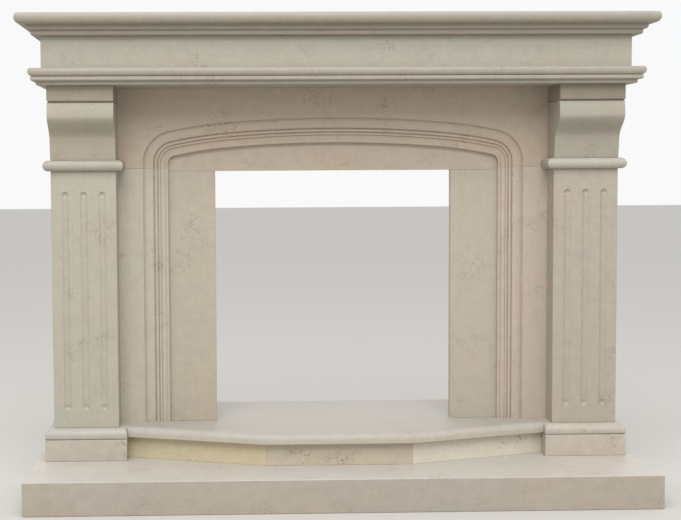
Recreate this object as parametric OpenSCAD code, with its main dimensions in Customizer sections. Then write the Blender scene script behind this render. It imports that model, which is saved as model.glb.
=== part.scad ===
// Stone fireplace mantel with corbelled pilasters, an arched frame and a raised canted hearth.
// Millimetres. X runs to the right, the front faces -Y, Z is up.
// The origin is on the floor, under the middle of the whole mantel's box.

/* [Hearth] */
// Width of the lower hearth slab
slab_w = 1680; // [1660:1:1760]
// Height of the lower hearth slab
slab_h = 90; // [60:1:120]
// How far the lower hearth slab stands out from the panels
slab_reach = 364; // [300:1:420]
// Height of the risers under the upper hearth
riser_h = 60; // [40:1:90]
// How far the flat middle of the upper hearth stands out from the panels
hearth_reach = 210; // [180:1:250]
// Width of the flat middle of the upper hearth
hearth_flat_w = 410; // [300:1:500]
// Angle at which the sides of the upper hearth turn back
hearth_cant = 20; // [16:1:22]
// How far the upper hearth hangs over its risers
hearth_lip = 24; // [15:1:30]
// How far the upper hearth runs back into the fireplace
back_hearth_d = 290; // [100:1:320]

/* [Pilasters] */
// Distance between the centres of the pilasters
pilaster_pitch = 1396; // [1380:1:1410]
// Width of a pilaster shaft
shaft_w = 180; // [160:1:190]
// Height of a pilaster shaft
shaft_h = 714; // [600:1:800]
// How far a shaft stands out from the panels
shaft_reach = 77; // [60:1:90]
// How far plinth and base moulding stand out from the shaft
plinth_step = 23; // [15:1:28]
// How far the neck moulding stands out from the shaft
neck_step = 20; // [15:1:24]
// Height of the S-shaped corbel
corbel_h = 158; // [140:1:180]
// Height of the corbel's cap block
cap_h = 43; // [30:1:60]
// How far the cap block stands out from the panels
cap_reach = 146; // [130:1:150]
// Width of one flute
flute_w = 20; // [14:1:24]
// Depth of one flute
flute_d = 4; // [3:0.5:8]
// Distance between flutes
flute_pitch = 51; // [40:1:54]
// Depth of the round eye at each end of a flute
flute_eye_d = 6; // [5:0.5:7]
// Plain shaft left above the flutes
flute_top_end = 56; // [40:1:80]
// Plain shaft left below the flutes
flute_foot_end = 49; // [40:1:80]

/* [Frieze and shelves] */
// How far frieze sides and front stand out from the cap block
frieze_step = 12; // [6:1:14]
// Height of the frieze
frieze_h = 86; // [60:1:120]
// Height of the lower moulded shelf
architrave_h = 45; // [40:1:60]
// How far the lower shelf stands out from the frieze
architrave_step = 32; // [28:1:40]
// Height of the mantel shelf with its mouldings
shelf_h = 58; // [54:1:70]
// How far the mantel shelf stands out from the frieze
shelf_step = 62; // [60:1:80]

/* [Arched frame and slips] */
// Clear width of the fire opening
opening_w = 670; // [600:1:700]
// Clear height of the fire opening above the upper hearth
opening_h = 713; // [680:1:715]
// Clear width of the arched frame
frame_w = 936; // [900:1:960]
// Height of the frame's spring line above the upper hearth
spring_h = 735; // [725:1:740]
// Rise of the arch above its spring line
arch_rise = 57; // [45:1:60]
// Radius of the frame's inner corners
corner_r = 22; // [10:1:30]
// Width of the moulding around the frame
frame_mould_w = 70; // [66:1:74]
// Height of the joint between jambs and header above the upper hearth
header_joint_h = 721; // [718:1:724]
// Thickness of the stone boards
board_t = 30; // [28:1:34]
// Thickness of the boards that make the arched frame
panel_t = 20; // [18:1:24]

/* [Hidden] */

// Planes in depth: the panels' faces, the wall behind the slips, and what stands out.
// panel_y puts the middle of the whole depth, slab to back hearth, at 0.
wall_t = panel_t + board_t;
panel_y = (slab_reach - wall_t - back_hearth_d) / 2;
wall_y = panel_y + wall_t;
slab_y = panel_y - slab_reach;
shaft_y = panel_y - shaft_reach;
cap_y = panel_y - cap_reach;
frieze_y = cap_y - frieze_step;

// Levels, from the floor up
riser_z = slab_h;
hearth_z = riser_z + riser_h;
floor_z = hearth_z + board_t;
neck_z = floor_z + shaft_h;
corbel_z = neck_z + board_t;
cap_z = corbel_z + corbel_h;
architrave_z = cap_z + cap_h;
frieze_z = architrave_z + architrave_h;
shelf_z = frieze_z + frieze_h;
header_z = floor_z + header_joint_h;
spring_z = floor_z + spring_h;
opening_z = floor_z + opening_h;

// Half widths
pilaster_x = pilaster_pitch / 2;
shaft_half = shaft_w / 2;
panel_half = pilaster_x - shaft_half;
plinth_inner_x = panel_half - plinth_step;
frieze_half = pilaster_x + shaft_half + frieze_step;
hearth_flat_half = hearth_flat_w / 2;
slip_lap = 32;
back_hearth_w = opening_w + 130;
arris = 2;
v_joint = 3;
arc_steps = 6;
over = 1;

// Points along an arc from angle a to angle b
function arc(x, y, r, a, b, steps = arc_steps) =
    [for (i = [0:steps]) let (t = a + (b - a) * i / steps) [x + r * cos(t), y + r * sin(t)]];

// Moulding profiles as [projection, height], from the bottom up
neck_profile = arc(neck_step - board_t / 2, board_t / 2, board_t / 2, -90, 90, 10);
nose_r = 18;
nose_profile = concat(
    [[plinth_step - v_joint, 0], [plinth_step, v_joint]],
    arc(plinth_step - nose_r, board_t - nose_r, nose_r, 0, 90)
);

// A step of a moulding: flat underside, rounded lower edge, upright face
function step_profile(p, z0, z1, r) = concat(arc(p - r, z0 + r, r, -90, 0, 4), [[p, z1]]);
// A shelf nose with a fuller curve below than above
function shelf_nose(p, z0, z1, low_r) = let (high_r = z1 - z0 - low_r) concat(
    arc(p - low_r, z0 + low_r, low_r, -90, 0),
    arc(p - high_r, z0 + low_r, high_r, 0, 90)
);

shelf_fillet = 14;
shelf_profile = concat(
    step_profile(23.5, 0, shelf_fillet, 6),
    step_profile(34.5, shelf_fillet, 2 * shelf_fillet, 6),
    shelf_nose(shelf_step, 2 * shelf_fillet, shelf_h, 18)
);
architrave_fillet = 11;
architrave_profile = concat(
    step_profile(13, 0, architrave_fillet, 4),
    step_profile(25.5, architrave_fillet, 2 * architrave_fillet, 4),
    shelf_nose(architrave_step, 2 * architrave_fillet, architrave_h, 14)
);

// Rings of the frame moulding as [outer edge, inner edge, depth], edges counted outwards
// from the frame's opening
frame_rings = [
    [frame_mould_w, 67, 6], [67, 40.5, 3], [40.5, 38, 10], [38, 29.5, 4.5],
    [29.5, 28, 9.5], [28, 20.5, 4.5], [20.5, 8, 9], [8, 0, 5.5]
];

// The S-curve of the corbel: a foot that leans out a little, a tight cyma, and a round
// belly that draws back to a small V at the joint with the cap
corbel_foot = 4;
corbel_lean = 9;
cyma_low = corbel_h * 0.36;
cyma_high = corbel_h * 0.75;
cyma_steps = 12;
belly_draw = 6;
belly_steps = 5;
cyma_in = shaft_y - corbel_foot - corbel_lean;
cyma_out = cap_y + 1;
corbel_front = concat(
    [[shaft_y - corbel_foot, 0]],
    [for (i = [0:cyma_steps]) let (t = i / cyma_steps, bulge = (1 - cos(180 * t)) / 2) [
        cyma_in + (cyma_out - cyma_in) * bulge, cyma_low + (cyma_high - cyma_low) * t
    ]],
    [for (i = [1:belly_steps]) let (t = i / belly_steps) [
        cyma_out + belly_draw * t * t, cyma_high + (corbel_h - v_joint - cyma_high) * t
    ]],
    [[cyma_out + belly_draw + v_joint, corbel_h]]
);

// Solid between a mirrored side outline [half width, z] and a front outline [y, z]
module carve(side, front, back) {
    half_span = max([for (p = side) p[0]]) + over;
    low_y = min([for (p = front) p[0]]) - over;
    count = len(side);
    intersection() {
        translate([0, back, 0]) rotate([90, 0, 0]) linear_extrude(back - low_y)
            polygon(concat(side, [for (i = [1:count]) [-side[count - i][0], side[count - i][1]]]));
        translate([-half_span, 0, 0]) rotate([90, 0, 90]) linear_extrude(2 * half_span)
            polygon(concat(front, [[back, front[len(front) - 1][1]], [back, front[0][1]]]));
    }
}

// A moulded tier: one profile that runs along the front and is mitred back along both sides
module tier(half, face, back, profile) {
    carve([for (p = profile) [half + p[0], p[1]]], [for (p = profile) [face - p[0], p[1]]], back);
}

module pilaster_tier(profile) {
    tier(shaft_half, shaft_y, wall_y, profile);
}

// Puts a right-hand pilaster piece in its place, or mirrors it to the left
module on_side(side, z) {
    scale([side, 1, 1]) translate([pilaster_x, 0, z]) children();
}

// For pieces that are drawn from the panels' faces
module at_panel(z = 0) {
    translate([0, panel_y, z]) children();
}

// Upper hearth
hearth_profile = [for (p = nose_profile) [-hearth_reach + plinth_step - p[0], p[1]]];
module hearth_form() {
    reach = panel_half + over;
    intersection() {
        translate([-reach, 0, 0]) rotate([90, 0, 90]) linear_extrude(2 * reach)
            polygon(concat(hearth_profile, [[wall_t, board_t], [wall_t, 0]]));
        canted_prism(-1);
        canted_prism(1);
    }
}

module canted_prism(side) {
    length = 6 * panel_half;
    translate([side * hearth_flat_half, -hearth_reach, 0]) rotate([0, 0, side * hearth_cant])
        translate([-length / 2, hearth_reach, 0]) rotate([90, 0, 90]) linear_extrude(length)
            polygon(concat(hearth_profile, [[length, board_t], [length, 0]]));
}

module hearth_top() {
    color([0.80, 0.78, 0.73]) at_panel(hearth_z) union() {
        intersection() {
            hearth_form();
            translate([-plinth_inner_x, -2 * hearth_reach, -over])
                cube([2 * plinth_inner_x, 2 * hearth_reach + wall_t, board_t + 2 * over]);
        }
        translate([-back_hearth_w / 2, wall_t, 0]) cube([back_hearth_w, back_hearth_d, board_t]);
    }
}

// Risers: 30 mm boards under the front edge of the upper hearth, mitred at the two corners
riser_y = -hearth_reach + hearth_lip;
mitre_in = board_t * tan(hearth_cant / 2);
riser_corner = hearth_flat_half - hearth_lip * tan(hearth_cant / 2);
riser_end_y = riser_y + (plinth_inner_x - riser_corner) * tan(hearth_cant);

module hearth_riser_centre() {
    color([0.78, 0.70, 0.60]) at_panel(riser_z) linear_extrude(riser_h) polygon([
        [-riser_corner, riser_y], [riser_corner, riser_y],
        [riser_corner - mitre_in, riser_y + board_t], [-riser_corner + mitre_in, riser_y + board_t]
    ]);
}

module hearth_riser(side, tint) {
    back_step = board_t / cos(hearth_cant);
    color(tint) at_panel(riser_z) linear_extrude(riser_h) polygon([
        [side * riser_corner, riser_y], [side * plinth_inner_x, riser_end_y],
        [side * plinth_inner_x, riser_end_y + back_step],
        [side * (riser_corner - mitre_in), riser_y + board_t]
    ]);
}
module hearth_riser_left() hearth_riser(-1, [0.80, 0.73, 0.55]);
module hearth_riser_right() hearth_riser(1, [0.80, 0.76, 0.66]);

module lower_hearth_slab() {
    color([0.74, 0.69, 0.62])
        tier(slab_w / 2, slab_y, wall_y, [[0, 0], [0, slab_h - arris], [-arris, slab_h]]);
}

// Pilasters
module plinth_block(side) {
    color([0.75, 0.71, 0.64]) on_side(side, riser_z) pilaster_tier([
        [plinth_step, 0], [plinth_step, riser_h - arris], [plinth_step - arris, riser_h]
    ]);
}
module plinth_block_left() plinth_block(-1);
module plinth_block_right() plinth_block(1);

// The base moulding is square on its inner side behind the hearth's nose, where the hearth
// butts against it
hearth_end_y = -hearth_reach + (plinth_inner_x - hearth_flat_half) * tan(hearth_cant);
butt_y = hearth_end_y + nose_r / 2;
module base_moulding(side) {
    color([0.79, 0.75, 0.70]) on_side(side, hearth_z) union() {
        pilaster_tier(nose_profile);
        translate([-shaft_half - plinth_step, panel_y + butt_y, 0])
            cube([plinth_step + over, wall_t - butt_y, board_t]);
    }
}
module base_moulding_left() base_moulding(-1);
module base_moulding_right() base_moulding(1);

flute_low = flute_foot_end + flute_w / 2;
flute_high = shaft_h - flute_top_end - flute_w / 2;

// Round-bottomed sinking of depth d, as wide as a flute, from height low to height high
module sinking(d, low, high) {
    r = (flute_w * flute_w / 4 + d * d) / (2 * d);
    translate([0, shaft_y + d - r, 0]) rotate_extrude($fn = 48) polygon(without_repeats(concat(
        [[0, low - r]], arc(0, low, r, -75, 0, 5), arc(0, high, r, 0, 75, 5), [[0, high + r]]
    )));
}

// Shallow flute with a deeper eye at each end
module flute() {
    sinking(flute_d, flute_low, flute_high);
    sinking(flute_eye_d, flute_low, flute_low);
    sinking(flute_eye_d, flute_high, flute_high);
}

module shaft(side) {
    color([0.74, 0.70, 0.62]) on_side(side, floor_z) difference() {
        translate([-shaft_half, shaft_y, 0]) cube([shaft_w, wall_y - shaft_y, shaft_h]);
        for (i = [-1:1]) translate([i * flute_pitch, 0, 0]) flute();
    }
}
module shaft_left() shaft(-1);
module shaft_right() shaft(1);

// The neck moulding stops against the panel on its inner side
module neck_moulding(side) {
    color([0.72, 0.68, 0.60]) on_side(side, neck_z) difference() {
        pilaster_tier(neck_profile);
        translate([-shaft_half - 2 * neck_step, panel_y, -over])
            cube([2 * neck_step, wall_t + over, board_t + 2 * over]);
    }
}
module neck_moulding_left() neck_moulding(-1);
module neck_moulding_right() neck_moulding(1);

module corbel(side) {
    color([0.73, 0.68, 0.60]) on_side(side, corbel_z) carve(
        [[shaft_half, 0], [shaft_half, corbel_h - v_joint], [shaft_half - v_joint, corbel_h]],
        corbel_front, wall_y
    );
}
module corbel_left() corbel(-1);
module corbel_right() corbel(1);

module corbel_cap(side) {
    color([0.70, 0.65, 0.57]) on_side(side, cap_z) tier(
        shaft_half, cap_y, wall_y, [[-v_joint, 0], [0, v_joint], [0, cap_h]]
    );
}
module corbel_cap_left() corbel_cap(-1);
module corbel_cap_right() corbel_cap(1);

// Arched frame. The arch is a flat crown arc, a tighter haunch arc on each side and a small
// arc in each corner, every one tangent to the next. Every line of the moulding is the same
// curve moved outwards by d.
frame_half = frame_w / 2;
corner_x = frame_half - corner_r;
crown_half = 0.67 * corner_x;
crown_drop = 0.36 * (arch_rise - corner_r);
crown_r = (crown_half * crown_half + crown_drop * crown_drop) / (2 * crown_drop);
crown_a = asin(crown_half / crown_r);
crown_steps = 16;
crown_end = [crown_half, spring_z + arch_rise - crown_drop];
crown_way = [sin(crown_a), cos(crown_a)];
to_corner = [corner_x, spring_z] - crown_end;
haunch_r = (corner_r * corner_r - to_corner * to_corner)
    / (2 * (to_corner * crown_way + corner_r));
haunch_at = crown_end - haunch_r * crown_way;
haunch_a = atan2(corner_x - haunch_at[0], spring_z - haunch_at[1]);

function arch_line(d) = concat(
    [[frame_half + d, floor_z - over], [frame_half + d, spring_z]],
    arc(corner_x, spring_z, corner_r + d, 0, 90 - haunch_a),
    arc(haunch_at[0], haunch_at[1], haunch_r + d, 90 - haunch_a, 90 - crown_a),
    arc(0, spring_z + arch_rise - crown_r, crown_r + d, 90 - crown_a, 90 + crown_a, crown_steps),
    arc(-haunch_at[0], haunch_at[1], haunch_r + d, 90 + crown_a, 90 + haunch_a),
    arc(-corner_x, spring_z, corner_r + d, 90 + haunch_a, 180),
    [[-frame_half - d, spring_z], [-frame_half - d, floor_z - over]]
);
function without_repeats(pts) =
    [for (i = [0:len(pts) - 1]) if (i == 0 || norm(pts[i] - pts[i - 1]) > 0.01) pts[i]];

module arch_plate(d, y0, y1) {
    translate([0, y1, 0]) rotate([90, 0, 0]) linear_extrude(y1 - y0)
        polygon(without_repeats(arch_line(d)));
}

// Board pierced by the frame's opening, with the moulding cut into its face
module framed_board(low_x, low_z, w, h) {
    color([0.70, 0.65, 0.57]) at_panel() difference() {
        translate([low_x, 0, low_z]) cube([w, panel_t, h]);
        arch_plate(0, -over, panel_t + over);
        for (ring = frame_rings) difference() {
            arch_plate(ring[0], -over, ring[2]);
            arch_plate(ring[1], -2 * over, ring[2] + over);
        }
    }
}

module jamb_left() framed_board(-panel_half, floor_z, panel_half - frame_half, header_joint_h);
module jamb_right() framed_board(frame_half, floor_z, panel_half - frame_half, header_joint_h);
module arch_header() {
    framed_board(-panel_half, header_z, 2 * panel_half, architrave_z - header_z);
}

// Slips: plain boards behind the frame that narrow it to the fire opening
slip_w = frame_half + slip_lap - opening_w / 2;
slip_top_h = spring_z + arch_rise + slip_lap - opening_z;

module slip_side(side) {
    color([0.71, 0.67, 0.59]) at_panel(floor_z)
        translate([side > 0 ? opening_w / 2 : -opening_w / 2 - slip_w, panel_t, 0])
            cube([slip_w, board_t, opening_h]);
}
module slip_left() slip_side(-1);
module slip_right() slip_side(1);
module slip_top() {
    color([0.69, 0.64, 0.57]) at_panel(opening_z) translate([-frame_half - slip_lap, panel_t, 0])
        cube([frame_w + 2 * slip_lap, board_t, slip_top_h]);
}

// Entablature
module architrave() {
    color([0.72, 0.67, 0.59]) translate([0, 0, architrave_z])
        tier(frieze_half, frieze_y, wall_y, architrave_profile);
}
module frieze() {
    color([0.71, 0.67, 0.59]) translate([-frieze_half, frieze_y, frieze_z])
        cube([2 * frieze_half, wall_y - frieze_y, frieze_h]);
}
module mantel_shelf() {
    color([0.74, 0.71, 0.64]) translate([0, 0, shelf_z])
        tier(frieze_half, frieze_y, wall_y, shelf_profile);
}

lower_hearth_slab();
hearth_riser_left();
hearth_riser_centre();
hearth_riser_right();
hearth_top();
plinth_block_left();
plinth_block_right();
base_moulding_left();
base_moulding_right();
shaft_left();
shaft_right();
neck_moulding_left();
neck_moulding_right();
corbel_left();
corbel_right();
corbel_cap_left();
corbel_cap_right();
jamb_left();
jamb_right();
arch_header();
slip_left();
slip_right();
slip_top();
architrave();
frieze();
mantel_shelf();
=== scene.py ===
import math

import bmesh
import bpy
from mathutils import Matrix, Vector


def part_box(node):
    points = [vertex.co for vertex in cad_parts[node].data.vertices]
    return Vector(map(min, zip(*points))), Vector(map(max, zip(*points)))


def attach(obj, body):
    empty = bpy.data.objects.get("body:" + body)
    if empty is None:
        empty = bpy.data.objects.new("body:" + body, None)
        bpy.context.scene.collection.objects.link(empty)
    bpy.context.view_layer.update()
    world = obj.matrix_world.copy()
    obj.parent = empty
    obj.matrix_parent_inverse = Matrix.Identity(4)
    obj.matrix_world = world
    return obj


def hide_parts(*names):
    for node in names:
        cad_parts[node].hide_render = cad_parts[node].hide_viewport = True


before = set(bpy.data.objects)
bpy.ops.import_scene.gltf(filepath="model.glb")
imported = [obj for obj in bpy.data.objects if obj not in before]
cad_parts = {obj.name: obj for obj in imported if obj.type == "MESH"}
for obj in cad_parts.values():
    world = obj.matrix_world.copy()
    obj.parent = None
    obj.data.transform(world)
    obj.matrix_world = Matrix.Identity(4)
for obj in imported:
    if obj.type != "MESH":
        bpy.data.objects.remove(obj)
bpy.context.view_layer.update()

print("frame loaded:", len(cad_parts), "stones")

# lengths are in metres and angles in degrees, except where a note says otherwise
tolerance = {
    "plane": 1e-6,    # a point this near a plane lies on it
    "merge": 1e-5,    # points this close are one while a stone is shaped
    "weld": 2e-5,     # and when it is finished
    "clear": 1e-4,    # far enough from the back to be in front of it
    "flat": 0.5,      # faces turned by less than this become one
}
stoneFinishing = {
    "sharpOver": 38,                      # edges above this angle stay crisp
    "sawAlong": 9.0, "sawAcross": 230.0,  # how close the saw marks lie, each way
}


def arcPoints(centre, radius, start, end, steps):
    turns = [math.radians(start + (end - start) * i / steps) for i in range(steps + 1)]
    return [(centre[0] + radius * math.cos(t), centre[1] + radius * math.sin(t)) for t in turns]


def vertsOf(geometry):
    return [g for g in geometry if isinstance(g, bmesh.types.BMVert)]


def edgesOf(geometry):
    return [g for g in geometry if isinstance(g, bmesh.types.BMEdge)]


def endsOf(edges):
    # each end point once, in the order of the edges
    return list(dict.fromkeys(v for e in edges for v in e.verts))


def everything(bm):
    return bm.verts[:] + bm.edges[:] + bm.faces[:]


def openEdges(bm):
    return [e for e in bm.edges if e.is_boundary]


def cutAway(bm, point, normal):
    # keeps what lies behind the plane
    bmesh.ops.bisect_plane(bm, geom=everything(bm), dist=tolerance["plane"], plane_co=point,
                           plane_no=normal, clear_outer=True)


def splitAt(bm, point, normal):
    # draws a line of edges where the plane passes and keeps both sides
    bmesh.ops.bisect_plane(bm, geom=everything(bm), dist=tolerance["plane"], plane_co=point,
                           plane_no=normal)


def mergeClose(bm, distance):
    bmesh.ops.remove_doubles(bm, verts=bm.verts, dist=distance)


def joinFlatFaces(bm, angle):
    bmesh.ops.dissolve_limit(bm, angle_limit=math.radians(angle), verts=bm.verts, edges=bm.edges)


def mirrorAcross(bm):
    # gives the left half from the right
    bmesh.ops.mirror(bm, geom=everything(bm), merge_dist=tolerance["merge"], axis="X")
    mergeClose(bm, tolerance["merge"])


def copyAbout(bm, corner, turn):
    # a second run of everything, turned or flipped about the corner
    copy = bmesh.ops.duplicate(bm, geom=everything(bm))["geom"]
    bmesh.ops.transform(bm, verts=vertsOf(copy),
                        matrix=Matrix.Translation(corner) @ turn @ Matrix.Translation(-corner))


def chainOf(bm, points):
    verts = [bm.verts.new(p) for p in points]
    return [bm.edges.new(pair) for pair in zip(verts, verts[1:])]


def drawOut(bm, edges, vector):
    # extrudes a line of edges and gives back the far line
    grown = bmesh.ops.extrude_edge_only(bm, edges=edges)["geom"]
    bmesh.ops.translate(bm, verts=vertsOf(grown), vec=vector)
    return [e for e in edgesOf(grown) if len(e.link_faces) == 1]


def carryTo(bm, edges, y):
    # extrudes edges straight back to the depth y
    grown = bmesh.ops.extrude_edge_only(bm, edges=edges)["geom"]
    for v in vertsOf(grown):
        v.co.y = y


def capLevel(bm, height):
    # closes the flat top or underside of an open moulding
    rim = [v for v in endsOf(openEdges(bm)) if abs(v.co.z - height) < tolerance["merge"]]
    bmesh.ops.contextual_create(bm, geom=rim)


def fillHoles(bm):
    bmesh.ops.holes_fill(bm, edges=openEdges(bm))


def easeArrises(bm, width, overAngle, segments=2):
    sharp = [e for e in bm.edges if len(e.link_faces) == 2
             and e.calc_face_angle(0) > math.radians(overAngle)]
    bmesh.ops.bevel(bm, geom=sharp, offset=width, offset_type="OFFSET", affect="EDGES",
                    segments=segments, profile=0.5, material=-1, clamp_overlap=True)


def finishStone(bm, node, look):
    # cleans the mesh, gives the stone its own grain and tint and hangs it on the frame
    mergeClose(bm, tolerance["weld"])
    bmesh.ops.dissolve_degenerate(bm, dist=tolerance["plane"], edges=bm.edges)
    bmesh.ops.recalc_face_normals(bm, faces=bm.faces)
    mesh = bpy.data.meshes.new(node + "Stone")
    bm.to_mesh(mesh)
    bm.free()
    stone = bpy.data.objects.new(node + "Stone", mesh)
    bpy.context.collection.objects.link(stone)
    mesh.shade_smooth()
    mesh.set_sharp_from_angle(angle=math.radians(stoneFinishing["sharpOver"]))
    seed = mesh.attributes.new("blockSeed", "FLOAT", "POINT")
    seed.data.foreach_set("value", [look["seed"]] * len(mesh.vertices))
    tint = mesh.attributes.new("blockTint", "FLOAT_VECTOR", "POINT")
    tint.data.foreach_set("vector", list(look["tint"]) * len(mesh.vertices))
    low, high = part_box(node)
    along, across = stoneFinishing["sawAlong"], stoneFinishing["sawAcross"]
    lying = high.x - low.x > high.z - low.z
    marks = (along, across, across) if lying else (across, across, along)
    run = mesh.attributes.new("blockRun", "FLOAT_VECTOR", "POINT")
    run.data.foreach_set("vector", marks * len(mesh.vertices))
    mesh.materials.append(stoneMaterials[look["finish"]])
    weighted = stone.modifiers.new("flatFaces", "WEIGHTED_NORMAL")
    weighted.keep_sharp = True
    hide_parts(node)
    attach(stone, "root")


view = {
    "place": (-0.312, -3.9455, 0.893),
    "down": 3.65,          # degrees below level
    "right": 1.70,         # degrees turned to the right
    "roll": 0.32,
    "lens": 74.0, "sensor": 36.0,      # both in millimetres
    "shiftX": 0.111,
}


def setCamera():
    cameraData = bpy.data.cameras.new("camera")
    cameraData.lens = view["lens"]
    cameraData.sensor_width = view["sensor"]
    cameraData.shift_x = view["shiftX"]
    camera = bpy.data.objects.new("camera", cameraData)
    camera.location = view["place"]
    camera.rotation_euler = (math.radians(90 - view["down"]), math.radians(view["roll"]),
                             math.radians(-view["right"]))
    bpy.context.collection.objects.link(camera)
    bpy.context.scene.camera = camera


studio = {
    "sky": (1.0, 1.0, 1.0), "skyStrength": 0.95,
    "lamps": {
        "front": {"place": (-0.5, -3.9, 4.5), "aim": (0.0, 0.0, 0.5), "size": 3.6,
                  "power": 215.0, "colour": (1.0, 0.985, 0.96)},
    },
    "floorReach": 30, "floorTone": (0.56, 0.545, 0.52), "floorRough": 0.9,
}


def setLight():
    world = bpy.data.worlds.new("sky")
    bpy.context.scene.world = world
    world.use_nodes = True
    backdrop = world.node_tree.nodes["Background"]
    backdrop.inputs["Color"].default_value = (*studio["sky"], 1)
    backdrop.inputs["Strength"].default_value = studio["skyStrength"]
    for name, lamp in studio["lamps"].items():
        lampData = bpy.data.lights.new(name, "AREA")
        lampData.size = lamp["size"]
        lampData.energy = lamp["power"]
        lampData.color = lamp["colour"]
        lampObject = bpy.data.objects.new(name, lampData)
        lampObject.location = lamp["place"]
        aim = Vector(lamp["aim"]) - Vector(lamp["place"])
        lampObject.rotation_euler = aim.to_track_quat("-Z", "Y").to_euler()
        bpy.context.collection.objects.link(lampObject)


def layFloor():
    bm = bmesh.new()
    bmesh.ops.create_grid(bm, x_segments=1, y_segments=1, size=studio["floorReach"])
    mesh = bpy.data.meshes.new("studioFloor")
    bm.to_mesh(mesh)
    bm.free()
    floor = bpy.data.objects.new("studioFloor", mesh)
    bpy.context.collection.objects.link(floor)
    paint = bpy.data.materials.new("studioFloorPaint")
    paint.use_nodes = True
    shader = paint.node_tree.nodes["Principled BSDF"]
    shader.inputs["Base Color"].default_value = (*studio["floorTone"], 1)
    shader.inputs["Roughness"].default_value = studio["floorRough"]
    mesh.materials.append(paint)


setCamera()
setLight()
layFloor()
bpy.context.scene.view_settings.view_transform = "Standard"
print("camera, light and floor set")


stoneFinishes = {
    # the colour triple in each finish is painted light, lightening and bluing faces turned upwards
    # as painted top light and painted sky reflection; shine is the strength of reflections
    "honed": {"rough": 0.52, "bump": 0.30, "hairlines": 0.34, "curls": 0.58,
              "paintedTopLight": (1.05, 1.07, 1.09), "shine": 0.5},
    # the shelf's finish, whose upward faces get a strong bluish painted top light and painted sky
    # reflection
    "paintedSkyLitTop": {"rough": 0.50, "bump": 0.30, "hairlines": 0.30, "curls": 0.45,
                  "paintedTopLight": (1.20, 1.30, 1.50), "shine": 0.5},
    "sawn": {"rough": 0.42, "bump": 0.22, "hairlines": 0.22, "curls": 0.40,
             "paintedTopLight": (1.43, 1.50, 1.63), "shine": 0.5},
    "polished": {"rough": 0.46, "bump": 0.02, "hairlines": 0.20, "curls": 0.30,
                 "paintedTopLight": (0.98, 1.015, 1.09), "shine": 0.28},
    "stained": {"rough": 0.55, "bump": 0.35, "hairlines": 0.35, "curls": 0.80,
                "paintedTopLight": (1.0, 1.0, 1.0), "shine": 0.5},
}
stoneTones = {
    "rose": (1.016, 0.983, 0.964),     # the pinkish clouds, as a share of the block's tint
    "green": (0.980, 0.999, 0.982),    # the greenish grey ones
    "hairline": (0.26, 0.17, 0.09),
    "curl": (0.16, 0.11, 0.065),
    "speck": (0.24, 0.17, 0.10),
}
stoneGrain = {
    # span is the part of a noise that counts, light what it adds to the lightness
    "clouds": {"scale": 5.0, "detail": 4.0, "span": (0.38, 0.62)},
    "mottle": {"scale": 34.0, "detail": 5.0, "span": (0.3, 0.7), "light": (0.955, 1.035)},
    "grain": {"scale": 420.0, "detail": 2.0, "span": (0.3, 0.7), "light": (-0.02, 0.02)},
    "flecks": {"scale": 120.0, "detail": 3.0, "span": (0.35, 0.65), "light": (-0.026, 0.022)},
    "sawMarks": {"scale": 1.0, "detail": 2.0, "span": (0.35, 0.65), "light": (-0.014, 0.014)},
    "hairlines": {"scale": 3.4, "detail": 6.0, "distortion": 0.9, "width": 0.0035},
    "hairlinePatches": {"scale": 4.6, "detail": 1.0, "span": (0.58, 0.66)},
    "nests": {"scale": 9.5, "detail": 3.0, "span": (0.585, 0.67)},
    "curls": {"scale": 62.0, "detail": 2.0, "distortion": 0.5, "width": 0.032},
    "specks": {"scale": 110.0, "span": (0.08, 0.26), "nestSpan": (0.47, 0.62), "strength": 0.5},
}
stoneSurface = {
    "seedStep": (0.73, 0.31, 0.59),    # how far one step of a block's seed moves the pattern
    "paintedTopLightSpan": (0.05, 0.6),         # how far a face turns up before the painted top light starts and is full
    "roughShare": (0.93, 1.10), "ior": 1.49,
    "bumpDepth": 0.0012, "mottleHeight": 0.6, "grainHeight": 0.3, "curlDepth": 0.8,
}


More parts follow.
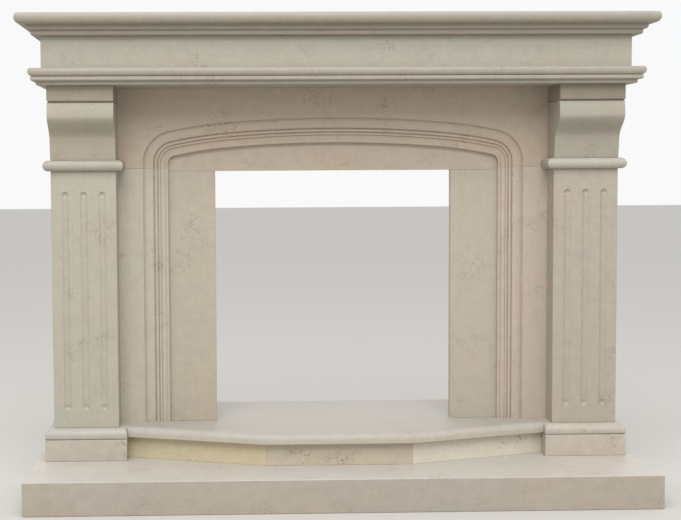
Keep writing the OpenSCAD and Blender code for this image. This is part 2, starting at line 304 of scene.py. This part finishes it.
def makeStone(name, finish):
    material = bpy.data.materials.new(name)
    material.use_nodes = True
    nodes = material.node_tree.nodes
    links = material.node_tree.links
    shader = nodes["Principled BSDF"]

    def add(kind, inputs=(), **settings):
        # inputs pairs a socket with a plain value or with another node's output
        node = nodes.new(kind)
        for key, value in settings.items():
            setattr(node, key, value)
        for key, value in inputs:
            if isinstance(value, bpy.types.NodeSocket):
                links.new(value, node.inputs[key])
            else:
                node.inputs[key].default_value = value
        return node

    def maths(operation, a, b=0.0):
        return add("ShaderNodeMath", ((0, a), (1, b)), operation=operation).outputs[0]

    def noise(layer, where):
        inputs = (("Vector", where), ("Scale", layer["scale"]), ("Detail", layer["detail"]),
                  ("Distortion", layer.get("distortion", 0.0)))
        return add("ShaderNodeTexNoise", inputs).outputs["Fac"]

    def ranged(value, span, result=(0.0, 1.0)):
        inputs = ((0, value), (1, span[0]), (2, span[1]), (3, result[0]), (4, result[1]))
        return add("ShaderNodeMapRange", inputs).outputs[0]

    def blend(kind, amount, first, second):
        return add("ShaderNodeMix", ((0, amount), (6, first), (7, second)),
                   data_type="RGBA", blend_type=kind).outputs[2]

    def contour(layer):
        # thin lines where the noise passes its middle value
        gap = maths("ABSOLUTE", maths("SUBTRACT", noise(layer, place), 0.5))
        return ranged(gap, (0.0, layer["width"]), (1.0, 0.0))

    # every stone is cut from its own place in the block
    seed = add("ShaderNodeAttribute", attribute_name="blockSeed").outputs["Fac"]
    tint = add("ShaderNodeAttribute", attribute_name="blockTint").outputs["Vector"]
    away = add("ShaderNodeVectorMath", ((0, stoneSurface["seedStep"]), ("Scale", seed)),
               operation="SCALE").outputs[0]
    objectPlace = add("ShaderNodeTexCoord").outputs["Object"]
    place = add("ShaderNodeVectorMath", ((0, objectPlace), (1, away)), operation="ADD").outputs[0]

    # broad clouds of rose and green over the block's tint
    clouds = ranged(noise(stoneGrain["clouds"], place), stoneGrain["clouds"]["span"])
    cloudTone = blend("MIX", clouds, (*stoneTones["green"], 1), (*stoneTones["rose"], 1))
    colour = blend("MULTIPLY", 1.0, tint, cloudTone)

    # lightness from mottling, grain, flecks and faint saw marks along the stone
    run = add("ShaderNodeAttribute", attribute_name="blockRun").outputs["Vector"]
    sawn = add("ShaderNodeVectorMath", ((0, place), (1, run)), operation="MULTIPLY").outputs[0]
    fields = {name: noise(stoneGrain[name], sawn if name == "sawMarks" else place)
              for name in ("mottle", "grain", "flecks", "sawMarks")}
    mottle, grain = fields["mottle"], fields["grain"]
    shares = [ranged(field, stoneGrain[name]["span"], stoneGrain[name]["light"])
              for name, field in fields.items()]
    lightness = shares[0]
    for share in shares[1:]:
        lightness = maths("ADD", lightness, share)
    grey = add("ShaderNodeCombineColor",
               ((0, lightness), (1, lightness), (2, lightness))).outputs[0]
    colour = blend("MULTIPLY", 1.0, colour, grey)
    # painted light: faces turned upwards are lightened and blued by the finish's colour triple, a
    # painted top light and painted sky reflection
    normal = add("ShaderNodeNewGeometry").outputs["Normal"]
    facing = add("ShaderNodeSeparateXYZ", ((0, normal),)).outputs[2]
    colour = blend("MULTIPLY", ranged(facing, stoneSurface["paintedTopLightSpan"]), colour,
                   (*finish["paintedTopLight"], 1))

    # rare long hairlines, then nests of short curling fossil lines and small specks
    patches = noise(stoneGrain["hairlinePatches"], place)
    hairlines = maths("MULTIPLY", contour(stoneGrain["hairlines"]),
                      ranged(patches, stoneGrain["hairlinePatches"]["span"],
                             (0.0, finish["hairlines"])))
    colour = blend("MIX", hairlines, colour, (*stoneTones["hairline"], 1))
    nests = noise(stoneGrain["nests"], place)
    curls = maths("MULTIPLY", contour(stoneGrain["curls"]),
                  ranged(nests, stoneGrain["nests"]["span"], (0.0, finish["curls"])))
    colour = blend("MIX", curls, colour, (*stoneTones["curl"], 1))
    speckle = stoneGrain["specks"]
    dots = add("ShaderNodeTexVoronoi", (("Vector", place), ("Scale", speckle["scale"])),
               feature="F1").outputs["Distance"]
    specks = maths("MULTIPLY", ranged(dots, speckle["span"], (1.0, 0.0)),
                   ranged(nests, speckle["nestSpan"], (0.0, speckle["strength"])))
    colour = blend("MIX", specks, colour, (*stoneTones["speck"], 1))
    links.new(colour, shader.inputs["Base Color"])

    roughness = [finish["rough"] * share for share in stoneSurface["roughShare"]]
    links.new(ranged(mottle, stoneGrain["mottle"]["span"], roughness), shader.inputs["Roughness"])
    shader.inputs["IOR"].default_value = stoneSurface["ior"]
    shader.inputs["Specular IOR Level"].default_value = finish["shine"]

    height = maths("ADD", maths("MULTIPLY", mottle, stoneSurface["mottleHeight"]),
                   maths("MULTIPLY", grain, stoneSurface["grainHeight"]))
    height = maths("SUBTRACT", height, maths("MULTIPLY", curls, stoneSurface["curlDepth"]))
    bump = add("ShaderNodeBump", (("Strength", finish["bump"]),
                                  ("Distance", stoneSurface["bumpDepth"]), ("Height", height)))
    links.new(bump.outputs[0], shader.inputs["Normal"])
    return material


stoneMaterials = {name: makeStone(name + "Limestone", finish)
                  for name, finish in stoneFinishes.items()}
print("stone finishes mixed:", ", ".join(stoneMaterials))


mouldingCut = {
    "spare": 0.02,                     # how far a run passes its mitre before it is cut
    "stepSteps": 5, "noseLowSteps": 9, "noseHighSteps": 10,
}


def stepCurve(reach, low, high, radius):
    quarter = arcPoints((reach - radius, low + radius), radius, -90, 0, mouldingCut["stepSteps"])
    return quarter + [(reach, high)]


def noseCurve(reach, low, high, lowRadius, draw):
    # round below its foremost line, then drawn back in a steeper oval to the top
    swell = high - low - lowRadius
    oval = [(reach - draw + draw * x, low + lowRadius + swell * z)
            for x, z in arcPoints((0, 0), 1, 0, 90, mouldingCut["noseHighSteps"])]
    return arcPoints((reach - lowRadius, low + lowRadius), lowRadius, -90, 0,
                     mouldingCut["noseLowSteps"]) + oval[1:]


def mitredMoulding(profile, half, face, back, middle, level):
    # one run of the profile, mirrored in the mitre for the return, then in the middle
    bm = bmesh.new()
    depth = max(half, back - face) + mouldingCut["spare"]
    spread = max(p for p, z in profile) + mouldingCut["spare"]
    line = chainOf(bm, [(half - depth, face - p, level + z) for p, z in profile])
    drawOut(bm, line, (depth + spread, 0, 0))
    corner = Vector((half, face, 0))
    cutAway(bm, corner, (1, 1, 0))
    acrossMitre = Matrix(((0, -1, 0, 0), (-1, 0, 0, 0), (0, 0, 1, 0), (0, 0, 0, 1)))
    copyAbout(bm, corner, acrossMitre)
    cutAway(bm, (0, back, 0), (0, 1, 0))
    cutAway(bm, (0, 0, 0), (-1, 0, 0))
    mergeClose(bm, tolerance["merge"])
    mirrorAcross(bm)
    capLevel(bm, level + profile[0][1])
    capLevel(bm, level + profile[-1][1])
    fillHoles(bm)
    joinFlatFaces(bm, tolerance["flat"])
    bmesh.ops.translate(bm, verts=bm.verts, vec=(middle, 0, 0))
    return bm


shelfMoulding = {
    "fillet": 0.014, "firstStep": 0.0235, "secondStep": 0.0345, "stepRound": 0.006,
    "noseRound": 0.0155, "noseDraw": 0.0075,
    "look": {"seed": 1.3, "tint": (0.296, 0.266, 0.216), "finish": "paintedSkyLitTop"},
}
lowerShelfMoulding = {
    "fillet": 0.011, "firstStep": 0.013, "secondStep": 0.0255, "stepRound": 0.004,
    "noseRound": 0.0135, "noseDraw": 0.0055,
    "look": {"seed": 4.1, "tint": (0.333, 0.308, 0.262), "finish": "honed"},
}


def makeShelf(node, shape):
    low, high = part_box(node)
    friezeLow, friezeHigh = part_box("frieze")
    height = high.z - low.z
    reach = high.x - friezeHigh.x
    fillet = shape["fillet"]
    profile = (stepCurve(shape["firstStep"], 0, fillet, shape["stepRound"])
               + stepCurve(shape["secondStep"], fillet, 2 * fillet, shape["stepRound"])
               + noseCurve(reach, 2 * fillet, height, shape["noseRound"], shape["noseDraw"]))
    bm = mitredMoulding(profile, friezeHigh.x, friezeLow.y, high.y, 0, low.z)
    finishStone(bm, node, shape["look"])


makeShelf("mantel_shelf", shelfMoulding)
makeShelf("architrave", lowerShelfMoulding)
print("shelves moulded")


neck = {
    "steps": 16,
    "left": {"seed": 6.2, "tint": (0.362, 0.336, 0.285), "finish": "honed"},
    "right": {"seed": 7.7, "tint": (0.395, 0.364, 0.319), "finish": "honed"},
}


def makeNeck(side):
    node = "neck_moulding_" + side
    low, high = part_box(node)
    shaftLow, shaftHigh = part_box("shaft_" + side)
    middle, half = (shaftLow.x + shaftHigh.x) / 2, (shaftHigh.x - shaftLow.x) / 2
    radius = (high.z - low.z) / 2
    reach = shaftLow.y - low.y
    profile = arcPoints((reach - radius, radius), radius, -90, 90, neck["steps"])
    bm = mitredMoulding(profile, half, shaftLow.y, high.y, middle, low.z)
    # the inner return stops against the panel
    inner, way = (shaftLow.x, -1) if side == "right" else (shaftHigh.x, 1)
    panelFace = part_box("jamb_" + side)[0].y
    splitAt(bm, (0, panelFace, 0), (0, 1, 0))
    splitAt(bm, (inner, 0, 0), (1, 0, 0))
    spare = [f for f in bm.faces
             if (f.calc_center_median().x - inner) * way > tolerance["merge"]
             and f.calc_center_median().y > panelFace + tolerance["merge"]]
    bmesh.ops.delete(bm, geom=spare, context="FACES")
    fillHoles(bm)
    finishStone(bm, node, neck[side])


corbel = {
    "foot": 0.004, "lean": 0.009,             # proud of the shaft, and leaning out above that
    "cymaLow": 0.36, "cymaHigh": 0.75,        # shares of the height
    "bellySet": 0.001, "bellyDraw": 0.006,
    "cymaSteps": 24, "bellySteps": 10,
    "vJoint": 0.003, "ease": 0.0015, "easeOver": 70,
    "left": {"seed": 10.9, "tint": (0.358, 0.326, 0.262), "finish": "honed"},
    "right": {"seed": 12.5, "tint": (0.342, 0.319, 0.266), "finish": "honed"},
}


def makeCorbel(side):
    node = "corbel_" + side
    low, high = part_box(node)
    height, joint = high.z - low.z, corbel["vJoint"]
    start, stop = height * corbel["cymaLow"], height * corbel["cymaHigh"]
    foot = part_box("shaft_" + side)[0].y - corbel["foot"]
    inside = foot - corbel["lean"]
    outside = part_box("corbel_cap_" + side)[0].y + corbel["bellySet"]
    outline = [(foot, 0)]
    for i in range(corbel["cymaSteps"] + 1):
        share = i / corbel["cymaSteps"]
        bulge = (1 - math.cos(math.pi * share)) / 2
        outline.append((inside + (outside - inside) * bulge, start + (stop - start) * share))
    for i in range(1, corbel["bellySteps"] + 1):
        share = i / corbel["bellySteps"]
        outline.append((outside + corbel["bellyDraw"] * share ** 2,
                        stop + (height - joint - stop) * share))
    outline += [(outside + corbel["bellyDraw"] + joint, height), (high.y, height), (high.y, 0)]
    bm = bmesh.new()
    sideFace = bm.faces.new([bm.verts.new((low.x, y, low.z + z)) for y, z in outline])
    grown = bmesh.ops.extrude_face_region(bm, geom=[sideFace])["geom"]
    bmesh.ops.translate(bm, verts=vertsOf(grown), vec=(high.x - low.x, 0, 0))
    bmesh.ops.recalc_face_normals(bm, faces=bm.faces)
    # the joint's chamfer goes round the two top side edges as well
    near = tolerance["plane"]
    topSides = [e for e in bm.edges
                if all(abs(v.co.z - high.z) < near for v in e.verts)
                and abs(e.verts[0].co.x - e.verts[1].co.x) < near]
    bmesh.ops.bevel(bm, geom=topSides, offset=joint, offset_type="OFFSET", affect="EDGES",
                    segments=1, profile=0.5, material=-1)
    easeArrises(bm, corbel["ease"], corbel["easeOver"])
    finishStone(bm, node, corbel[side])


for side in ("left", "right"):
    makeNeck(side)
    makeCorbel(side)
print("pilaster mouldings carved")


# plain and grooved blocks keep their cut shape and get eased arrises
blockEasing = {"over": 72, "flat": 1}      # edges above over are eased, faces below flat joined
blocks = {
    "lower_hearth_slab": {"ease": 0.0025, "slot": "polished_limestone",
                          "look": {"seed": 14.0, "tint": (0.369, 0.332, 0.283), "finish": "sawn"}},
    "frieze": {"ease": 0.0012, "slot": "honed_limestone",
               "look": {"seed": 53.5, "tint": (0.370, 0.351, 0.296), "finish": "honed"}},
    "base_moulding_left": {"ease": 0.0010, "slot": "honed_limestone",
                           "look": {"seed": 8.4, "tint": (0.416, 0.396, 0.357),
                                    "finish": "honed"}},
    "base_moulding_right": {"ease": 0.0010, "slot": "honed_limestone",
                            "look": {"seed": 9.6, "tint": (0.446, 0.399, 0.345),
                                     "finish": "honed"}},
    "plinth_block_left": {"ease": 0.0016, "slot": "honed_limestone",
                          "look": {"seed": 17.1, "tint": (0.433, 0.393, 0.336), "finish": "honed"}},
    "plinth_block_right": {"ease": 0.0016, "slot": "honed_limestone",
                           "look": {"seed": 18.8, "tint": (0.460, 0.407, 0.350),
                                    "finish": "honed"}},
    # the caps' dark tints are partly painted shade, the shade under the architrave matched into
    # their colour, and partly their own tone
    "corbel_cap_left": {"ease": 0.0015, "slot": "honed_limestone",
                        "look": {"seed": 20.2, "tint": (0.288, 0.258, 0.198), "finish": "honed"}},
    "corbel_cap_right": {"ease": 0.0015, "slot": "honed_limestone",
                         "look": {"seed": 21.9, "tint": (0.250, 0.217, 0.167), "finish": "honed"}},
    "shaft_left": {"ease": 0.0015, "slot": "honed_limestone",
                   "look": {"seed": 23.3, "tint": (0.389, 0.364, 0.304), "finish": "honed"}},
    "shaft_right": {"ease": 0.0015, "slot": "honed_limestone",
                    "look": {"seed": 24.6, "tint": (0.378, 0.341, 0.286), "finish": "honed"}},
    "slip_left": {"ease": 0.0010, "slot": "honed_limestone",
                  "look": {"seed": 26.0, "tint": (0.402, 0.360, 0.293), "finish": "honed"}},
    "slip_right": {"ease": 0.0010, "slot": "honed_limestone",
                   "look": {"seed": 27.4, "tint": (0.414, 0.369, 0.304), "finish": "honed"}},
    "slip_top": {"ease": 0.0010, "slot": "honed_limestone",
                 "look": {"seed": 28.7, "tint": (0.414, 0.350, 0.285), "finish": "honed"}},
    "hearth_riser_left": {"ease": 0.0010, "slot": "ochre_limestone",
                          "look": {"seed": 30.1, "tint": (0.531, 0.466, 0.319),
                                   "finish": "stained"}},
    "hearth_riser_centre": {"ease": 0.0010, "slot": "rose_limestone",
                            "look": {"seed": 31.6, "tint": (0.469, 0.415, 0.326),
                                     "finish": "stained"}},
    "hearth_riser_right": {"ease": 0.0010, "slot": "pale_ochre_limestone",
                           "look": {"seed": 33.2, "tint": (0.613, 0.582, 0.492),
                                    "finish": "stained"}},
}


def easeBlock(node, shape):
    bm = bmesh.new()
    bm.from_mesh(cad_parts[node].data)
    mergeClose(bm, tolerance["merge"])
    joinFlatFaces(bm, blockEasing["flat"])
    easeArrises(bm, shape["ease"], blockEasing["over"])
    finishStone(bm, node, shape["look"])


for node, shape in blocks.items():
    easeBlock(node, shape)
print("blocks eased:", len(blocks))


archFrame = {
    "rise": 0.057, "cornerRound": 0.022, "springAbove": 0.014,
    "crownShare": 0.67, "dropShare": 0.36,    # how far the flat crown arc reaches and falls
    "cornerSteps": 12, "haunchSteps": 12, "crownSteps": 28,
    # distance out from the frame's opening, and depth behind the panel's face
    "lip": [(0.0, 0.0062), (0.0015, 0.0048), (0.0040, 0.0042), (0.0066, 0.0050)],
    "cove": [(0.0092, 0.0076), (0.0120, 0.0084), (0.0150, 0.0080), (0.0178, 0.0068),
             (0.0197, 0.0059), (0.0202, 0.0076)],
    "innerBead": [(0.0208, 0.0076), (0.0215, 0.0050), (0.0231, 0.0037), (0.0252, 0.0035),
                  (0.0271, 0.0046), (0.0280, 0.0082), (0.0291, 0.0083)],
    "outerBead": [(0.0300, 0.0052), (0.0318, 0.0035), (0.0345, 0.0031), (0.0369, 0.0042),
                  (0.0380, 0.0088), (0.0394, 0.0089)],
    "ogee": [(0.0406, 0.0052), (0.0430, 0.0030), (0.0480, 0.0018), (0.0550, 0.0018),
             (0.0615, 0.0028), (0.0655, 0.0042)],
    "quirk": [(0.0680, 0.0062), (0.0698, 0.0060), (0.0704, 0.0)],
    "board": [(0.12, 0.0), (0.30, 0.0)],      # flat panel, drawn past its edges and cut there
    "jointEase": 0.0013,
    "looks": {
        "jamb_left": {"seed": 35.0, "tint": (0.428, 0.395, 0.333), "finish": "honed"},
        "jamb_right": {"seed": 36.3, "tint": (0.443, 0.373, 0.317), "finish": "honed"},
        # the header's tint is darker and browner than the jambs': partly painted shade from the
        # shelf above, partly the stone's own tone
        "arch_header": {"seed": 38.1, "tint": (0.425, 0.352, 0.280), "finish": "honed"},
    },
}


def sweepFrame():
    # the moulding's section, led up one jamb, round the arch and down the other
    header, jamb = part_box("arch_header"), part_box("jamb_right")
    shape = archFrame
    half = jamb[0].x
    face, back = header[0].y, header[1].y
    spring = header[0].z + shape["springAbove"]
    cornerX = half - shape["cornerRound"]
    rise, radius = shape["rise"], shape["cornerRound"]
    # flat crown arc, a tighter haunch arc each side, then the corner, all tangent
    crownHalf = shape["crownShare"] * cornerX
    crownDrop = shape["dropShare"] * (rise - radius)
    crownRadius = (crownHalf ** 2 + crownDrop ** 2) / (2 * crownDrop)
    crownAngle = math.asin(crownHalf / crownRadius)
    crownEnd = Vector((crownHalf, spring + rise - crownDrop))
    crownWay = Vector((math.sin(crownAngle), math.cos(crownAngle)))
    toCorner = Vector((cornerX, spring)) - crownEnd
    haunchRadius = ((radius ** 2 - toCorner.length_squared)
                    / (2 * (toCorner.dot(crownWay) + radius)))
    haunchAt = crownEnd - haunchRadius * crownWay
    haunchAngle = math.atan2(cornerX - haunchAt.x, spring - haunchAt.y)
    section = [(0.0, back - face)]
    for part in ("lip", "cove", "innerBead", "outerBead", "ogee", "quirk", "board"):
        section += shape[part]
    bm = bmesh.new()
    line = chainOf(bm, [(half + out, face + deep, jamb[0].z) for out, deep in section])
    line = drawOut(bm, line, (0, 0, spring - jamb[0].z))
    for centre, turn, steps in (
            ((cornerX, 0, spring), math.pi / 2 - haunchAngle, shape["cornerSteps"]),
            ((haunchAt.x, 0, haunchAt.y), haunchAngle - crownAngle, shape["haunchSteps"]),
            ((0, 0, spring + rise - crownRadius), 2 * crownAngle, shape["crownSteps"]),
            ((-haunchAt.x, 0, haunchAt.y), haunchAngle - crownAngle, shape["haunchSteps"]),
            ((-cornerX, 0, spring), math.pi / 2 - haunchAngle, shape["cornerSteps"])):
        swung = bmesh.ops.spin(bm, geom=line + endsOf(line), cent=centre, axis=(0, -1, 0),
                               angle=turn, steps=steps, use_merge=False, use_duplicate=False)
        line = edgesOf(swung["geom_last"])
    drawOut(bm, line, (0, 0, jamb[0].z - spring))
    mergeClose(bm, tolerance["plane"])
    return bm


def cutFramePiece(whole, node):
    low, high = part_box(node)
    near = tolerance["plane"]
    bm = whole.copy()
    for axis in (0, 2):
        normal = Vector((0, 0, 0))
        normal[axis] = 1
        cutAway(bm, high, normal)
        cutAway(bm, low, -normal)
    # the edge at the joint between header and jambs is set back a little
    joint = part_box("arch_header")[0].z
    ease = archFrame["jointEase"] * (1 if node == "arch_header" else -1)
    splitAt(bm, (0, 0, joint + ease), (0, 0, 1))
    for v in bm.verts:
        if abs(v.co.z - joint) < near and v.co.y < high.y - tolerance["clear"]:
            v.co.y += abs(ease)
    rim = [e for e in openEdges(bm) if not all(abs(v.co.y - high.y) < near for v in e.verts)]
    carryTo(bm, rim, high.y)
    mergeClose(bm, near)
    fillHoles(bm)
    bmesh.ops.recalc_face_normals(bm, faces=bm.faces)
    finishStone(bm, node, archFrame["looks"][node])


wholeFrame = sweepFrame()
for node in ("jamb_left", "jamb_right", "arch_header"):
    cutFramePiece(wholeFrame, node)
wholeFrame.free()
print("arched frame swept")


upperHearth = {
    "noseRound": 0.018, "noseSteps": 10, "undercut": 0.003,
    "cant": 20.0, "flatWidth": 0.410,
    "blankHalf": 0.9,      # half the length of the nose before it is mitred
    "backLap": 0.065,      # how far the back part runs behind each slip
    "look": {"seed": 40.4, "tint": (0.440, 0.398, 0.340), "finish": "polished"},
}


def makeUpperHearth():
    node = "hearth_top"
    low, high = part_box(node)
    shape = upperHearth
    near = tolerance["merge"]
    radius, cut, blank = shape["noseRound"], shape["undercut"], shape["blankHalf"]
    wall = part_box("slip_left")[1].y
    cant = math.radians(shape["cant"])
    nose = arcPoints((0, high.z - low.z - radius), radius, 0, 90, shape["noseSteps"])
    profile = [(low.y + cut, 0), (low.y, cut)] + [(low.y + radius - y, z) for y, z in nose]
    bm = bmesh.new()
    line = chainOf(bm, [(-blank, y, low.z + z) for y, z in profile])
    drawOut(bm, line, (2 * blank, 0, 0))
    corner = Vector((shape["flatWidth"] / 2, low.y, 0))
    mitre = Vector((math.cos(cant / 2), math.sin(cant / 2), 0))
    cutAway(bm, corner, mitre)
    copyAbout(bm, corner, Matrix.Scale(-1, 4, mitre))
    mergeClose(bm, near)
    cutAway(bm, (0, 0, 0), (-1, 0, 0))
    cutAway(bm, (high.x, 0, 0), (1, 0, 0))
    mirrorAcross(bm)
    # the two end lines run straight back to the wall, then top, underside and back close it
    ends = [e for e in openEdges(bm) if all(abs(abs(v.co.x) - high.x) < near for v in e.verts)]
    carryTo(bm, ends, wall)
    mergeClose(bm, near)
    capLevel(bm, low.z)
    capLevel(bm, high.z)
    fillHoles(bm)
    joinFlatFaces(bm, tolerance["flat"])
    # the part that lies back in the fireplace grows out of the wall side
    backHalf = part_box("slip_right")[0].x + shape["backLap"]
    for x in (-backHalf, backHalf):
        splitAt(bm, (x, 0, 0), (1, 0, 0))
    rear = [f for f in bm.faces if all(abs(v.co.y - wall) < near for v in f.verts)
            and abs(f.calc_center_median().x) < backHalf]
    grown = bmesh.ops.extrude_face_region(bm, geom=rear)["geom"]
    bmesh.ops.delete(bm, geom=rear, context="FACES_ONLY")
    bmesh.ops.translate(bm, verts=vertsOf(grown), vec=(0, high.y - wall, 0))
    finishStone(bm, node, shape["look"])


makeUpperHearth()
print("upper hearth nosed")
